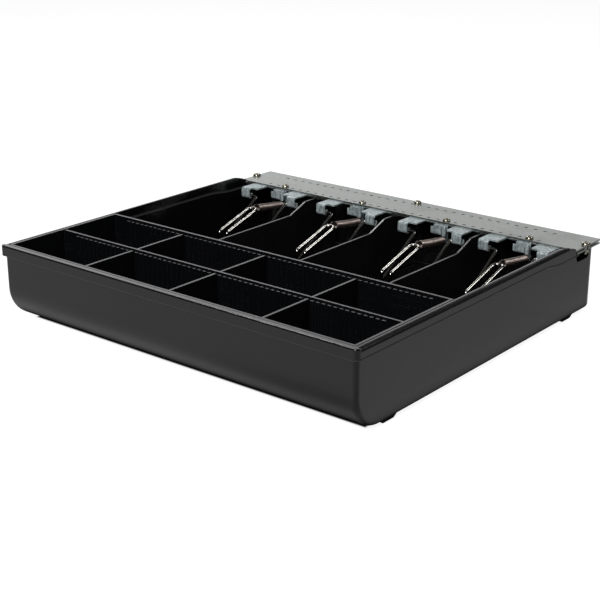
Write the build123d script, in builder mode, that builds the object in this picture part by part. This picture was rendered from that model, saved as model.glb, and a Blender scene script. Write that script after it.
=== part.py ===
"""Coin tray: a till insert with a lift-out coin section, note compartments and sprung bill clips.

Millimetres, +Z up, +X to the right and +Y to the rear as the user of the till sees the tray.
The origin is on the surface that the tray stands on, under the middle of its length and depth.
"""

import os
from math import cos, pi, radians, sin, sqrt

from build123d import *

os.makedirs("parts", exist_ok=True)

# Overall size
WIDTH = 400.0
DEPTH = 374.0
HEIGHT = 75.0
OVERRUN = 2.0

# Tray body
BODY_CLEARANCE = 3.7
WALL = 2.5
WALL_CORNER_R = 4.4
REAR_CORNER_R = 12.0
FLOOR = 2.5
FRONT_BOTTOM_R = 31.0
REAR_SETBACK = 2.0

# Lip band round the top
LIP_HEIGHT = 9.5
LIP_REACH = 2.6
LIP_CORNER_R = 4.5
LIP_EDGE_R = 1.2
LIP_END_R = 0.9
SHOULDER = 3.4
SHOULDER_BULGE = 0.7
SHOULDER_STEP = 0.3
LIP_DROOP = 3.0
LIP_DROOP_BACK = 104.0
LIP_DROOP_RUN = 35.0
LIP_TAIL = 8.8
RIM_CURVE_R = 80.0
RIM_CURVE_RUN = 27.7

# Cover plates across the rear
PLATE_DEPTH = 45.6
PLATE_SIDE_REACH = 0.2
PLATE_DROP = 6.0
UPPER_PLATE = 1.4
LOWER_PLATE = 1.6
PLATE_CORNER_R = 1.0
PLATE_FRONT_GAP = 0.5
LOWER_SETBACK = 3.0

# Slots in the upper plate
SLOT_PITCH_SHARE = 0.02525
SLOT_COUNT = 33
SLOT_LENGTH = 4.2
SLOT_WIDTH = 1.9
SLOT_ROW_SHIFT = -2.8
REAR_SLOTS_INSET = 11.5
CARRIER_INSET = 4.8
CARRIER_SLOTS = (2, 12, 22, 31)

# Screws
SCREW_HEAD_R = 3.8
SCREW_HEAD = 2.4
SCREW_SHANK_R = 1.9
SCREW_REACH = 9.0
RECESS_LENGTH = 4.4
RECESS_WIDTH = 0.9
RECESS_DEPTH = 1.3
SCREW_FIT = 0.08
END_HEAD_R = 4.2
END_SHANK_R = 1.5
END_SCREW_INSET = 2.2
END_SCREW_FORWARD = 24.5
END_SCREW_REACH = 9.0
NUT_R = 3.6
NUT = 2.6
SPACER_R = 4.4
REAR_SCREW_INSET = 5.4
REAR_SCREW_REACH = 12.0

# Pockets under the ends of the plates, for the nuts
POCKET_FORWARD = 40.0
POCKET_LENGTH = 24.0
POCKET_DEPTH = 9.5
POCKET_INWARD = 8.0
POCKET_R = 5.0
BOSS_WALL = 2.5
REAR_BOSS_WIDTH = 10.0
REAR_BOSS_REACH = 8.0
REAR_BOSS_HEIGHT = 20.0

# Feet
FOOT_BOTTOM_LENGTH = 14.0
FOOT_WIDTH = 14.0
FOOT_SIDE_INSET = 4.2
FOOT_SLOPE = 1.62
FRONT_FOOT_BACK = 50.0
REAR_FOOT_FORWARD = 43.5
FOOT_PEG_R = 2.0
FOOT_PEG_FIT = 0.05

# Coin section
COIN_SIDE_GAP = 1.0
COIN_FRONT_GAP = 0.6
COIN_WALL = 2.3
COIN_FLOOR = 2.3
COIN_PAD = 1.6
COIN_PAD_WIDTH = 12.0
COIN_PAD_SIDE_INSET = 22.0
COIN_PAD_INSET = 12.0
COIN_DEPTH = 129.5
CENTRE_WALL = 2.0
CENTRE_WALL_BACK = 61.5
CENTRE_WALL_DROP = 0.5
CUP_R = 12.0
RIB_PITCH_SHARE = 0.014675
RIB_DEPTH = 1.4
RIB_DROP = 3.0
RIB_END_MARGIN = 14.0
GROOVE = 2.5
GROOVE_SHIFT = 1.1
DIVIDER_PITCHES = 17

# Coin dividers
COIN_DIVIDER = 2.2
COIN_DIVIDER_DROP = 1.5
COIN_DIVIDER_R = 2.0
DIVIDER_FIT = 0.15
CUP_FIT = 0.5

# Bill dividers
BILL_DIVIDER = 2.0
BILL_DIVIDER_DROP = 18.5
BILL_DIVIDER_RAMP_TOP = 9.0
BILL_DIVIDER_LOW_END = 42.7
BILL_DIVIDER_HIGH_START = 18.7
BILL_DIVIDER_BEND_R = 9.0
BILL_DIVIDER_END_R = 1.0
BILL_DIVIDER_GAP = 0.5
BILL_DIVIDER_SEAT = 0.3
GUIDE_RIB = 1.5
GUIDE_RIB_HEIGHT = 4.0
GUIDE_RIB_END = 8.0

# Clip brackets
SHEET = 1.5
BASE_SPREAD = 18.7
BASE_SETBACK = 1.0
BASE_BACK = 17.0
LEFT_TAB_WIDTH = 18.3
RIGHT_TAB_INNER = 9.0
TAB_STEP = 3.0
EYE_LENGTH = 10.4
TAB_CORNER_R = 0.8
SHEET_BEND_R = 2.2
FACE_LEFT = 10.3
FACE_RIGHT = 6.3
FACE_REACH = 6.6
FACE_HEIGHT = 10.2
FACE_TOP_DROP = 0.3
FACE_CORNER_R = 1.6
FACE_NOTCH_WIDTH = 3.3
FACE_NOTCH_HEIGHT = 2.6
TONGUE = 3.7
SLIT_WIDTH = 0.9
SLIT_HEIGHT = 6.5
ANCHOR_WIDTH = 3.0
ANCHOR_SHIFT = 2.5
ANCHOR_HEIGHT = 18.5
ANCHOR_TOE = 1.4
EYE_TAIL = 40.0
EYE_FIT = 0.1

# Bill clips
WIRE_R = 1.5
PIVOT_FORWARD = 18.1
PIVOT_DROP = 15.5
ARM_SLOTS = 2
PIVOT_LEFT_END = 16.3
PIVOT_RIGHT_END = 11.8
NOSE_HALF_GAP = 5.0
PIVOT_BEND_R = 2.5
ARM_BEND_R = 6.0
FOOT_BEND_R = 3.2
NOSE_BEND_R = 3.2
TIP_BEND_R = 2.6
ARM_RUN = 71.0
ARM_FOOT_RISE = 6.78
NOSE_RUN = 78.0
TIP_RUN = 75.6
TIP_DROP = 17.2
LOOP_RUN = 28.1
LOOP_DROP = 2.6
LOOP_BEND_R = 4.9
FLOOR_CONTACT = 0.02

# Clip springs
SPRING_R = 3.31
SPRING_WIRE_R = 0.43
SPRING_TURNS = 25
SPRING_LEAD = 1.2
SPRING_HOOK_GAP = 0.1
SPRING_DROP = 5.2
HOOK_TURN_DEG = 235.0
HALF_TURN_DEG = 180.0
NEAR_WIRES = 12
LOOK_AHEAD = 120

# Planes that the pieces share
SIDE_X = WIDTH / 2 - LIP_REACH
INNER_X = SIDE_X - WALL
FRONT_Y = -DEPTH / 2
WALL_FRONT_Y = FRONT_Y + LIP_REACH
INNER_FRONT_Y = WALL_FRONT_Y + WALL
WALL_REAR_Y = DEPTH / 2 - REAR_SETBACK
INNER_REAR_Y = WALL_REAR_Y - WALL
FLOOR_Z = BODY_CLEARANCE + FLOOR
PLATE_X = WIDTH / 2 + PLATE_SIDE_REACH
PLATE_REAR_Y = DEPTH / 2
PLATE_FRONT_Y = PLATE_REAR_Y - PLATE_DEPTH
PLATE_TOP_Z = HEIGHT - PLATE_DROP
SHEET_TOP_Z = PLATE_TOP_Z - UPPER_PLATE
SHEET_Z = SHEET_TOP_Z - SHEET
SEAT_Z = SHEET_Z - LOWER_PLATE
COIN_X = INNER_X - COIN_SIDE_GAP
COIN_FRONT_Y = INNER_FRONT_Y + COIN_FRONT_GAP
COIN_REAR_Y = COIN_FRONT_Y + COIN_DEPTH
PIVOT_Y = PLATE_FRONT_Y - PIVOT_FORWARD
PIVOT_Z = HEIGHT - PIVOT_DROP
CARRIER_Y = PLATE_FRONT_Y + CARRIER_INSET
SLOT_PITCH = SLOT_PITCH_SHARE * WIDTH
RIB_PITCH = RIB_PITCH_SHARE * WIDTH
ARM_HALF_GAP = ARM_SLOTS * SLOT_PITCH
BASE_HALF_WIDTH = ARM_HALF_GAP + BASE_SPREAD
SLOT_START_X = SLOT_ROW_SHIFT - (SLOT_COUNT - 1) * SLOT_PITCH / 2
SLOT_XS = [SLOT_START_X + i * SLOT_PITCH for i in range(SLOT_COUNT)]
CARRIER_XS = [SLOT_XS[i] for i in CARRIER_SLOTS]
SIDES = (-1, 1)


def tray_profile(front, rear, low, radius, rim):
    """Side view of the tray's hull or of the space inside it, with its curved front edge."""
    with BuildSketch(Plane.YZ) as profile:
        with BuildLine():
            Polyline((front, low + radius), (front, HEIGHT), *rim[0])
            if len(rim) > 1:
                ThreePointArc(rim[0][-1], rim[1], rim[2][0])
                Polyline(*rim[2])
            Polyline(rim[-1][-1], (rear, low), (front + radius, low))
            slack = radius * (1 - sqrt(1 / 2))
            ThreePointArc(
                (front + radius, low), (front + slack, low + slack), (front, low + radius)
            )
        make_face()
    return profile.sketch


def side_edges(part, rear):
    """Edges down the front and along the bottom of both sides."""
    ends = part.faces().filter_by(Axis.X)
    return ends.edges().filter_by(lambda e: e.center().Z < SEAT_Z - WALL and e.center().Y < rear - WALL)


def round_box(part, rear, rear_r, edge_r):
    """Rounds the two rear corners in plan, then the front and bottom edges all round."""
    fillet(part.edges().filter_by(Axis.Z).group_by(Axis.Y)[-1], rear_r)
    bottom = part.faces().filter_by(Axis.Z).sort_by(Axis.Z)[0]
    rear_edges = bottom.edges().filter_by(lambda e: e.center().Y > rear - rear_r)
    fillet([*side_edges(part, rear - rear_r), *rear_edges], edge_r)


def rim_fall(run):
    """How far the rim has curved down after a run to the rear."""
    return RIM_CURVE_R - sqrt(RIM_CURVE_R**2 - run**2)


# Tray body: the hull's side view, drawn out to the width and rounded along its edges
RIM_START_Y = PLATE_FRONT_Y - PLATE_FRONT_GAP - RIM_CURVE_RUN
RIM_END_Y = PLATE_FRONT_Y - PLATE_FRONT_GAP
RIM_MID_Y = (RIM_START_Y + RIM_END_Y) / 2
RIM_END_Z = HEIGHT - rim_fall(RIM_CURVE_RUN)
RIM_MID_Z = HEIGHT - rim_fall(RIM_CURVE_RUN / 2)
RIM = (
    [(RIM_START_Y, HEIGHT)],
    (RIM_MID_Y, RIM_MID_Z),
    [(RIM_END_Y, RIM_END_Z), (RIM_END_Y, SEAT_Z), (WALL_REAR_Y, SEAT_Z)],
)
HULL_PROFILE = tray_profile(WALL_FRONT_Y, WALL_REAR_Y, BODY_CLEARANCE, FRONT_BOTTOM_R, RIM)
OPEN_Z = HEIGHT + OVERRUN
INNER_R = FRONT_BOTTOM_R - WALL
CAVITY_PROFILE = tray_profile(
    INNER_FRONT_Y, INNER_REAR_Y, FLOOR_Z, INNER_R, ([(INNER_FRONT_Y, OPEN_Z), (INNER_REAR_Y, OPEN_Z)],)
)
INNER_CORNER_R = WALL_CORNER_R - WALL

with BuildPart() as cavity:
    extrude(CAVITY_PROFILE, amount=INNER_X, both=True)
    round_box(cavity, INNER_REAR_Y, REAR_CORNER_R - WALL, INNER_CORNER_R)

with BuildPart() as hull:
    extrude(HULL_PROFILE, amount=SIDE_X, both=True)
    round_box(hull, WALL_REAR_Y, REAR_CORNER_R, WALL_CORNER_R)

LIP_LOW_Z = HEIGHT - LIP_HEIGHT
LIP_TAIL_LOW_Z = LIP_LOW_Z - LIP_DROOP
DROOP_START_Y = PLATE_REAR_Y - LIP_DROOP_BACK
DROOP_END_Y = DROOP_START_Y + LIP_DROOP_RUN
LIP_TAIL_Y = RIM_END_Y + LIP_TAIL

with BuildPart() as lip:
    with BuildSketch(Plane.YZ):
        with BuildLine():
            Polyline((LIP_TAIL_Y, LIP_TAIL_LOW_Z), (DROOP_END_Y, LIP_TAIL_LOW_Z))
            Polyline((DROOP_END_Y, LIP_TAIL_LOW_Z), (DROOP_START_Y, LIP_LOW_Z), (FRONT_Y, LIP_LOW_Z))
            Polyline((FRONT_Y, LIP_LOW_Z), (FRONT_Y, HEIGHT), (RIM_START_Y, HEIGHT))
            ThreePointArc((RIM_START_Y, HEIGHT), (RIM_MID_Y, RIM_MID_Z), (RIM_END_Y, RIM_END_Z))
            Polyline((RIM_END_Y, RIM_END_Z), (RIM_END_Y, SEAT_Z), (LIP_TAIL_Y, SEAT_Z))
            Line((LIP_TAIL_Y, SEAT_Z), (LIP_TAIL_Y, LIP_TAIL_LOW_Z))
        make_face()
    extrude(amount=WIDTH / 2, both=True)
    fillet(lip.edges().filter_by(Axis.Z).group_by(Axis.Y)[0], LIP_CORNER_R)
    top_edges = lip.faces().filter_by(Plane.XY).sort_by(Axis.Z)[-1].edges()
    fillet(top_edges.group_by(Axis.Y)[0], LIP_EDGE_R)
    fillet(lip.edges().filter_by(Axis.X).group_by(Axis.Y)[-1], LIP_END_R)

SHOULDER_X = WIDTH / 2 - SHOULDER
SHOULDER_Z = HEIGHT - SHOULDER
POCKET_Y = PLATE_REAR_Y - POCKET_FORWARD + POCKET_LENGTH / 2
POCKET_LOW_Z = SEAT_Z - POCKET_DEPTH
POCKET_X = SIDE_X - POCKET_INWARD
BOSS_INNER_X = POCKET_X - BOSS_WALL
BOSS_OUTER_X = SIDE_X - WALL / 2
END_SCREW_X = PLATE_X - END_SCREW_INSET
END_SCREW_Y = PLATE_REAR_Y - END_SCREW_FORWARD
REAR_SCREW_Y = PLATE_REAR_Y - REAR_SCREW_INSET
FOOT_X = SIDE_X - FOOT_SIDE_INSET - FOOT_WIDTH / 2
FOOT_YS = (FRONT_Y + FRONT_FOOT_BACK, PLATE_REAR_Y - REAR_FOOT_FORWARD)
FOOT_PLACES = [(side * FOOT_X, y) for y in FOOT_YS for side in SIDES]
BILL_DIVIDER_XS = [GROOVE_SHIFT + k * DIVIDER_PITCHES * RIB_PITCH for k in (-1, 0, 1)]
GUIDE_SPACING = BILL_DIVIDER + 2 * DIVIDER_FIT + GUIDE_RIB
GUIDE_START_Y = COIN_REAR_Y + BILL_DIVIDER_GAP
GUIDE_LENGTH = INNER_REAR_Y - GUIDE_RIB_END - GUIDE_START_Y
GUIDE_Y = GUIDE_START_Y + GUIDE_LENGTH / 2

with BuildPart() as tray_body:
    add(hull.part)
    add(lip.part)
    add(cavity.part, mode=Mode.SUBTRACT)
    # Rounded shoulder along the top of each side
    for side in SIDES:
        with BuildSketch(Plane.XZ.offset(-FRONT_Y - LIP_CORNER_R)):
            with BuildLine():
                low = (side * WIDTH / 2, SHOULDER_Z)
                high = (side * SHOULDER_X, HEIGHT - SHOULDER_STEP)
                out = side * (WIDTH / 2 + OVERRUN)
                middle_x = side * (WIDTH / 2 - SHOULDER / 2 + SHOULDER_BULGE)
                middle_z = HEIGHT - (SHOULDER + SHOULDER_STEP) / 2 + SHOULDER_BULGE
                ThreePointArc(high, (middle_x, middle_z), low)
                Polyline(low, (out, SHOULDER_Z), (out, OPEN_Z), (side * SHOULDER_X, OPEN_Z), high)
            make_face()
        extrude(amount=-DEPTH, mode=Mode.SUBTRACT)
    # Blocks inside the rear corners, and the open pockets in them
    boss_height = POCKET_DEPTH + BOSS_WALL
    with BuildSketch(Plane.XY.offset(SEAT_Z)):
        with Locations(*[(side * (BOSS_INNER_X + BOSS_OUTER_X) / 2, POCKET_Y) for side in SIDES]):
            Rectangle(BOSS_OUTER_X - BOSS_INNER_X, POCKET_LENGTH + 2 * BOSS_WALL)
    extrude(amount=-boss_height)
    for side in SIDES:
        with BuildSketch(Plane.YZ.offset(side * POCKET_X)):
            with Locations((POCKET_Y, SEAT_Z)):
                RectangleRounded(POCKET_LENGTH, 2 * (SEAT_Z - POCKET_LOW_Z), POCKET_R)
        extrude(amount=side * WIDTH / 2, mode=Mode.SUBTRACT)
    # Block for the screw at the middle of the rear wall
    with BuildSketch(Plane.XY.offset(SEAT_Z)):
        with Locations((0, INNER_REAR_Y + (WALL - REAR_BOSS_REACH) / 2)):
            Rectangle(REAR_BOSS_WIDTH, REAR_BOSS_REACH + WALL)
    extrude(amount=-REAR_BOSS_HEIGHT)
    with Locations((0, REAR_SCREW_Y, SEAT_Z)):
        Hole(END_SHANK_R + SCREW_FIT, REAR_SCREW_REACH)
    # Holes for the pegs of the feet
    with BuildSketch(Plane.XY.offset(FLOOR_Z)):
        with Locations(*FOOT_PLACES):
            Circle(FOOT_PEG_R + FOOT_PEG_FIT)
    extrude(amount=-FLOOR_Z, mode=Mode.SUBTRACT)
    # Low guide ribs on the floor, a pair for each bill divider
    with BuildSketch(Plane.XY.offset(FLOOR_Z)):
        for x in BILL_DIVIDER_XS:
            with Locations(*[(x + side * GUIDE_SPACING / 2, GUIDE_Y) for side in SIDES]):
                Rectangle(GUIDE_RIB, GUIDE_LENGTH)
    extrude(amount=GUIDE_RIB_HEIGHT)
tray_body.part.label = "tray_body"
export_step(tray_body.part, "parts/tray_body.step")

# Feet: tapered blocks, each with a peg in the floor
for number, (x, y) in enumerate(FOOT_PLACES, start=1):
    foot_top = BODY_CLEARANCE + FLOOR
    with BuildPart() as foot:
        with BuildSketch(Plane.YZ.offset(x)):
            with BuildLine():
                Polyline(
                    (y - FOOT_BOTTOM_LENGTH / 2, 0),
                    (y + FOOT_BOTTOM_LENGTH / 2, 0),
                    (y + FOOT_BOTTOM_LENGTH / 2 + foot_top * FOOT_SLOPE, foot_top),
                    (y - FOOT_BOTTOM_LENGTH / 2 - foot_top * FOOT_SLOPE, foot_top),
                    close=True,
                )
            make_face()
        extrude(amount=FOOT_WIDTH / 2, both=True)
        add(hull.part, mode=Mode.SUBTRACT)
        with BuildSketch(Plane.XY.offset(BODY_CLEARANCE)):
            with Locations((x, y)):
                Circle(FOOT_PEG_R)
        extrude(amount=FLOOR)
    foot.part.label = f"foot_{number}"
    export_step(foot.part, f"parts/foot_{number}.step")

# Coin section: two rows of rounded cups, with ribs that hold the dividers
COIN_R = INNER_R - COIN_FRONT_GAP
COIN_RIM = ([(COIN_REAR_Y, HEIGHT)],)
COIN_LOW_Z = FLOOR_Z + COIN_PAD
COIN_PROFILE = tray_profile(COIN_FRONT_Y, COIN_REAR_Y, COIN_LOW_Z, COIN_R, COIN_RIM)
CUP_Z = COIN_LOW_Z + COIN_FLOOR
PAD_X = COIN_X - COIN_PAD_SIDE_INSET
PAD_YS = (COIN_FRONT_Y + COIN_R + COIN_PAD_INSET, COIN_REAR_Y - COIN_PAD_INSET)
CUP_X = COIN_X - COIN_WALL
CENTRE_WALL_Y = COIN_FRONT_Y + COIN_WALL + CENTRE_WALL_BACK
CUP_ROWS = (
    ("front", COIN_FRONT_Y + COIN_WALL, CENTRE_WALL_Y - CENTRE_WALL / 2, COIN_R - COIN_WALL),
    ("rear", CENTRE_WALL_Y + CENTRE_WALL / 2, COIN_REAR_Y - COIN_WALL, CUP_R),
)
RIB_XS = []
rib_count = int((CUP_X - RIB_END_MARGIN) / RIB_PITCH)
for k in range(-rib_count, rib_count):
    RIB_XS.append(GROOVE_SHIFT + (k + 1 / 2) * RIB_PITCH)
RIB_ROWS = []
for row, cup_front, cup_rear, front_r in CUP_ROWS:
    RIB_ROWS += [(cup_front + RIB_DEPTH / 2, CUP_Z + front_r), (cup_rear - RIB_DEPTH / 2, CUP_Z + CUP_R)]


def cup_profile(front, rear, low, top, front_r, rear_r):
    """Side view of a row of cups, or of a divider that stands in it."""
    with BuildSketch(Plane.YZ) as profile:
        with BuildLine():
            slack = front_r * (1 - sqrt(1 / 2))
            ThreePointArc((front, low + front_r), (front + slack, low + slack), (front + front_r, low))
            Line((front + front_r, low), (rear - rear_r, low))
            slack = rear_r * (1 - sqrt(1 / 2))
            ThreePointArc((rear - rear_r, low), (rear - slack, low + slack), (rear, low + rear_r))
            Polyline((rear, low + rear_r), (rear, top), (front, top), (front, low + front_r))
        make_face()
    return profile.sketch


with BuildPart() as coin_tray:
    extrude(COIN_PROFILE, amount=COIN_X, both=True)
    fillet(side_edges(coin_tray, COIN_REAR_Y), INNER_CORNER_R)
    for row, cup_front, cup_rear, front_r in CUP_ROWS:
        row_profile = cup_profile(cup_front, cup_rear, CUP_Z, OPEN_Z, front_r, CUP_R)
        extrude(row_profile, amount=CUP_X, both=True, mode=Mode.SUBTRACT)
    with BuildSketch(Plane.XY.offset(OPEN_Z)):
        with Locations((0, CENTRE_WALL_Y)):
            Rectangle(2 * CUP_X, CENTRE_WALL)
    extrude(amount=-OVERRUN - CENTRE_WALL_DROP, mode=Mode.SUBTRACT)
    for rib_y, rib_z in RIB_ROWS:
        with BuildSketch(Plane.XY.offset(rib_z)):
            with Locations(*[(x, rib_y) for x in RIB_XS]):
                Rectangle(RIB_PITCH - GROOVE, RIB_DEPTH)
        extrude(amount=HEIGHT - RIB_DROP - rib_z)
    # Pads under the section, on which it stands in the tray
    with BuildSketch(Plane.XY.offset(FLOOR_Z)):
        with Locations(*[(x, y) for y in PAD_YS for x in (-PAD_X, 0, PAD_X)]):
            Rectangle(COIN_PAD_WIDTH, COIN_PAD_WIDTH)
    extrude(amount=COIN_PAD + COIN_FLOOR / 2)
coin_tray.part.label = "coin_tray"
export_step(coin_tray.part, "parts/coin_tray.step")

# Coin dividers: loose plates that stand in the grooves between the ribs
for row, cup_front, cup_rear, front_r in CUP_ROWS:
    for place, x in zip(("left", "middle", "right"), BILL_DIVIDER_XS):
        with BuildPart() as coin_divider:
            plate = cup_profile(
                cup_front + DIVIDER_FIT,
                cup_rear - DIVIDER_FIT,
                CUP_Z,
                HEIGHT - COIN_DIVIDER_DROP,
                front_r + CUP_FIT,
                CUP_R + CUP_FIT,
            )
            extrude(plate.moved(Location((x, 0, 0))), amount=COIN_DIVIDER / 2, both=True)
            upper = coin_divider.edges().filter_by(Axis.X).group_by(Axis.Z)[-1]
            fillet(upper, COIN_DIVIDER_R)
        name = f"coin_divider_{row}_{place}"
        coin_divider.part.label = name
        export_step(coin_divider.part, f"parts/{name}.step")

# Bill dividers: low between the notes, then stepped up and held down by the plates
HIGH_Z = HEIGHT - BILL_DIVIDER_RAMP_TOP
for place, x in zip(("left", "middle", "right"), BILL_DIVIDER_XS):
    with BuildPart() as bill_divider:
        with BuildSketch(Plane.YZ.offset(x)):
            front = COIN_REAR_Y + BILL_DIVIDER_GAP
            rear = INNER_REAR_Y - REAR_BOSS_REACH - BILL_DIVIDER_SEAT
            low_z = HEIGHT - BILL_DIVIDER_DROP
            held_z = SEAT_Z - BILL_DIVIDER_SEAT
            step_y = RIM_END_Y - BILL_DIVIDER_SEAT
            with BuildLine():
                FilletPolyline(
                    (front, FLOOR_Z),
                    (front, low_z),
                    (PLATE_FRONT_Y - BILL_DIVIDER_LOW_END, low_z),
                    (PLATE_FRONT_Y - BILL_DIVIDER_HIGH_START, HIGH_Z),
                    (step_y, HIGH_Z),
                    (step_y, held_z),
                    radius=(
                        BILL_DIVIDER_END_R,
                        BILL_DIVIDER_BEND_R,
                        BILL_DIVIDER_BEND_R,
                        BILL_DIVIDER_END_R / 2,
                    ),
                )
                Polyline((step_y, held_z), (rear, held_z), (rear, FLOOR_Z), (front, FLOOR_Z))
            make_face()
        extrude(amount=BILL_DIVIDER / 2, both=True)
    bill_divider.part.label = f"bill_divider_{place}"
    export_step(bill_divider.part, f"parts/bill_divider_{place}.step")

# Cover plates: a slotted upper plate and a plain lower one, apart by the brackets' sheet
PLATE_Y = (PLATE_FRONT_Y + PLATE_REAR_Y) / 2
NOTCH_R = END_SHANK_R + SCREW_FIT
REAR_SLOT_Y = PLATE_REAR_Y - REAR_SLOTS_INSET
FRONT_SLOT_XS = [x for i, x in enumerate(SLOT_XS) if i not in CARRIER_SLOTS]


def plate_outline(setback):
    """Plan of a cover plate with its screw holes and the open notch at each end."""
    with BuildSketch() as outline:
        with Locations((0, PLATE_Y + setback / 2)):
            RectangleRounded(2 * PLATE_X, PLATE_DEPTH - setback, PLATE_CORNER_R)
        with Locations((0, REAR_SCREW_Y), *[(side * END_SCREW_X, END_SCREW_Y) for side in SIDES]):
            Circle(NOTCH_R, mode=Mode.SUBTRACT)
        with Locations(*[(side * (END_SCREW_X + OVERRUN), END_SCREW_Y) for side in SIDES]):
            Rectangle(2 * OVERRUN, 2 * NOTCH_R, mode=Mode.SUBTRACT)
        with Locations(*[(x, CARRIER_Y) for x in CARRIER_XS]):
            Circle(SCREW_SHANK_R + SCREW_FIT, mode=Mode.SUBTRACT)
    return outline.sketch


with BuildPart() as upper_plate:
    with BuildSketch(Plane.XY.offset(SHEET_TOP_Z)):
        add(plate_outline(0))
        with Locations(*[(x, REAR_SLOT_Y) for x in SLOT_XS], *[(x, CARRIER_Y) for x in FRONT_SLOT_XS]):
            SlotOverall(SLOT_LENGTH, SLOT_WIDTH, mode=Mode.SUBTRACT)
    extrude(amount=UPPER_PLATE)
upper_plate.part.label = "upper_plate"
export_step(upper_plate.part, "parts/upper_plate.step")

with BuildPart() as lower_plate:
    with BuildSketch(Plane.XY.offset(SEAT_Z)):
        add(plate_outline(LOWER_SETBACK))
    extrude(amount=LOWER_PLATE)
    # Raised rings round the end and rear screws fill the space under the upper plate
    with BuildSketch(Plane.XY.offset(SHEET_Z)):
        with Locations((0, REAR_SCREW_Y), *[(side * END_SCREW_X, END_SCREW_Y) for side in SIDES]):
            Circle(SPACER_R)
        add(plate_outline(LOWER_SETBACK), mode=Mode.INTERSECT)
    extrude(amount=SHEET)
lower_plate.part.label = "lower_plate"
export_step(lower_plate.part, "parts/lower_plate.step")


def domed_screw(x, y, head_r, shank_r, reach):
    """A domed, cross-recessed screw with its head on the upper plate."""
    with BuildPart() as screw:
        with BuildSketch(Plane.XY.offset(PLATE_TOP_Z)):
            with Locations((x, y)):
                Circle(head_r)
        extrude(amount=SCREW_HEAD)
        fillet(screw.edges().group_by(Axis.Z)[-1], SCREW_HEAD * 3 / 4)
        with BuildSketch(Plane.XY.offset(PLATE_TOP_Z + SCREW_HEAD)):
            with Locations((x, y)):
                Rectangle(RECESS_LENGTH, RECESS_WIDTH)
                Rectangle(RECESS_WIDTH, RECESS_LENGTH)
        extrude(amount=-RECESS_DEPTH, mode=Mode.SUBTRACT)
        with BuildSketch(Plane.XY.offset(PLATE_TOP_Z)):
            with Locations((x, y)):
                Circle(shank_r)
        extrude(amount=-reach)
    return screw.part


SCREWS = [(f"carrier_screw_{n}", x, CARRIER_Y, SCREW_HEAD_R, SCREW_SHANK_R, SCREW_REACH)
          for n, x in enumerate(CARRIER_XS, start=1)]
for side_name, side in zip(("left", "right"), SIDES):
    end_x = side * END_SCREW_X
    SCREWS.append((f"end_screw_{side_name}", end_x, END_SCREW_Y, END_HEAD_R, END_SHANK_R, END_SCREW_REACH))
SCREWS.append(("rear_screw", 0, REAR_SCREW_Y, SCREW_HEAD_R, END_SHANK_R, REAR_SCREW_REACH))
for name, x, y, head_r, shank_r, reach in SCREWS:
    screw = domed_screw(x, y, head_r, shank_r, reach)
    screw.label = name
    export_step(screw, f"parts/{name}.step")

# Nuts on the end screws, in the open pockets
for side_name, side in zip(("left", "right"), SIDES):
    with BuildPart() as nut:
        with BuildSketch(Plane.XY.offset(SEAT_Z)):
            with Locations((side * END_SCREW_X, END_SCREW_Y)):
                RegularPolygon(NUT_R, 6)
                Circle(END_SHANK_R + SCREW_FIT, mode=Mode.SUBTRACT)
        extrude(amount=-NUT)
    nut.part.label = f"end_nut_{side_name}"
    export_step(nut.part, f"parts/end_nut_{side_name}.step")

# Clip brackets: sheet blanks with two curled eyes, a centre hook and a spring anchor
EYE_INNER_R = WIRE_R + EYE_FIT
EYE_OUTER_R = EYE_INNER_R + SHEET
FACE_Y = PIVOT_Y - EYE_OUTER_R
TAB_FRONT_Y = FACE_Y + SHEET_BEND_R
CENTRE_FACE_Y = PLATE_FRONT_Y - FACE_REACH
BASE_FRONT_Y = PLATE_FRONT_Y + BASE_SETBACK
ANCHOR_Y = BASE_FRONT_Y
EYE_XS = (-BASE_HALF_WIDTH, ARM_HALF_GAP + PIVOT_BEND_R + EYE_FIT)


def bent_strip(front, low):
    """Section of a strip that leaves the flat sheet and turns down behind the plane y = front."""
    inner_r = SHEET_BEND_R - SHEET
    bend_y = front + SHEET_BEND_R
    bend_z = SHEET_TOP_Z - SHEET_BEND_R
    lean = sqrt(1 / 2)
    with BuildSketch() as section:
        with BuildLine():
            Line((front, low), (front, bend_z))
            outer = (bend_y - SHEET_BEND_R * lean, bend_z + SHEET_BEND_R * lean)
            ThreePointArc((front, bend_z), outer, (bend_y, SHEET_TOP_Z))
            Line((bend_y, SHEET_TOP_Z), (bend_y, SHEET_Z))
            inner = (bend_y - inner_r * lean, bend_z + inner_r * lean)
            ThreePointArc((bend_y, SHEET_Z), inner, (front + SHEET, bend_z))
            Polyline((front + SHEET, bend_z), (front + SHEET, low), (front, low))
        make_face()
    return section.sketch


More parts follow.
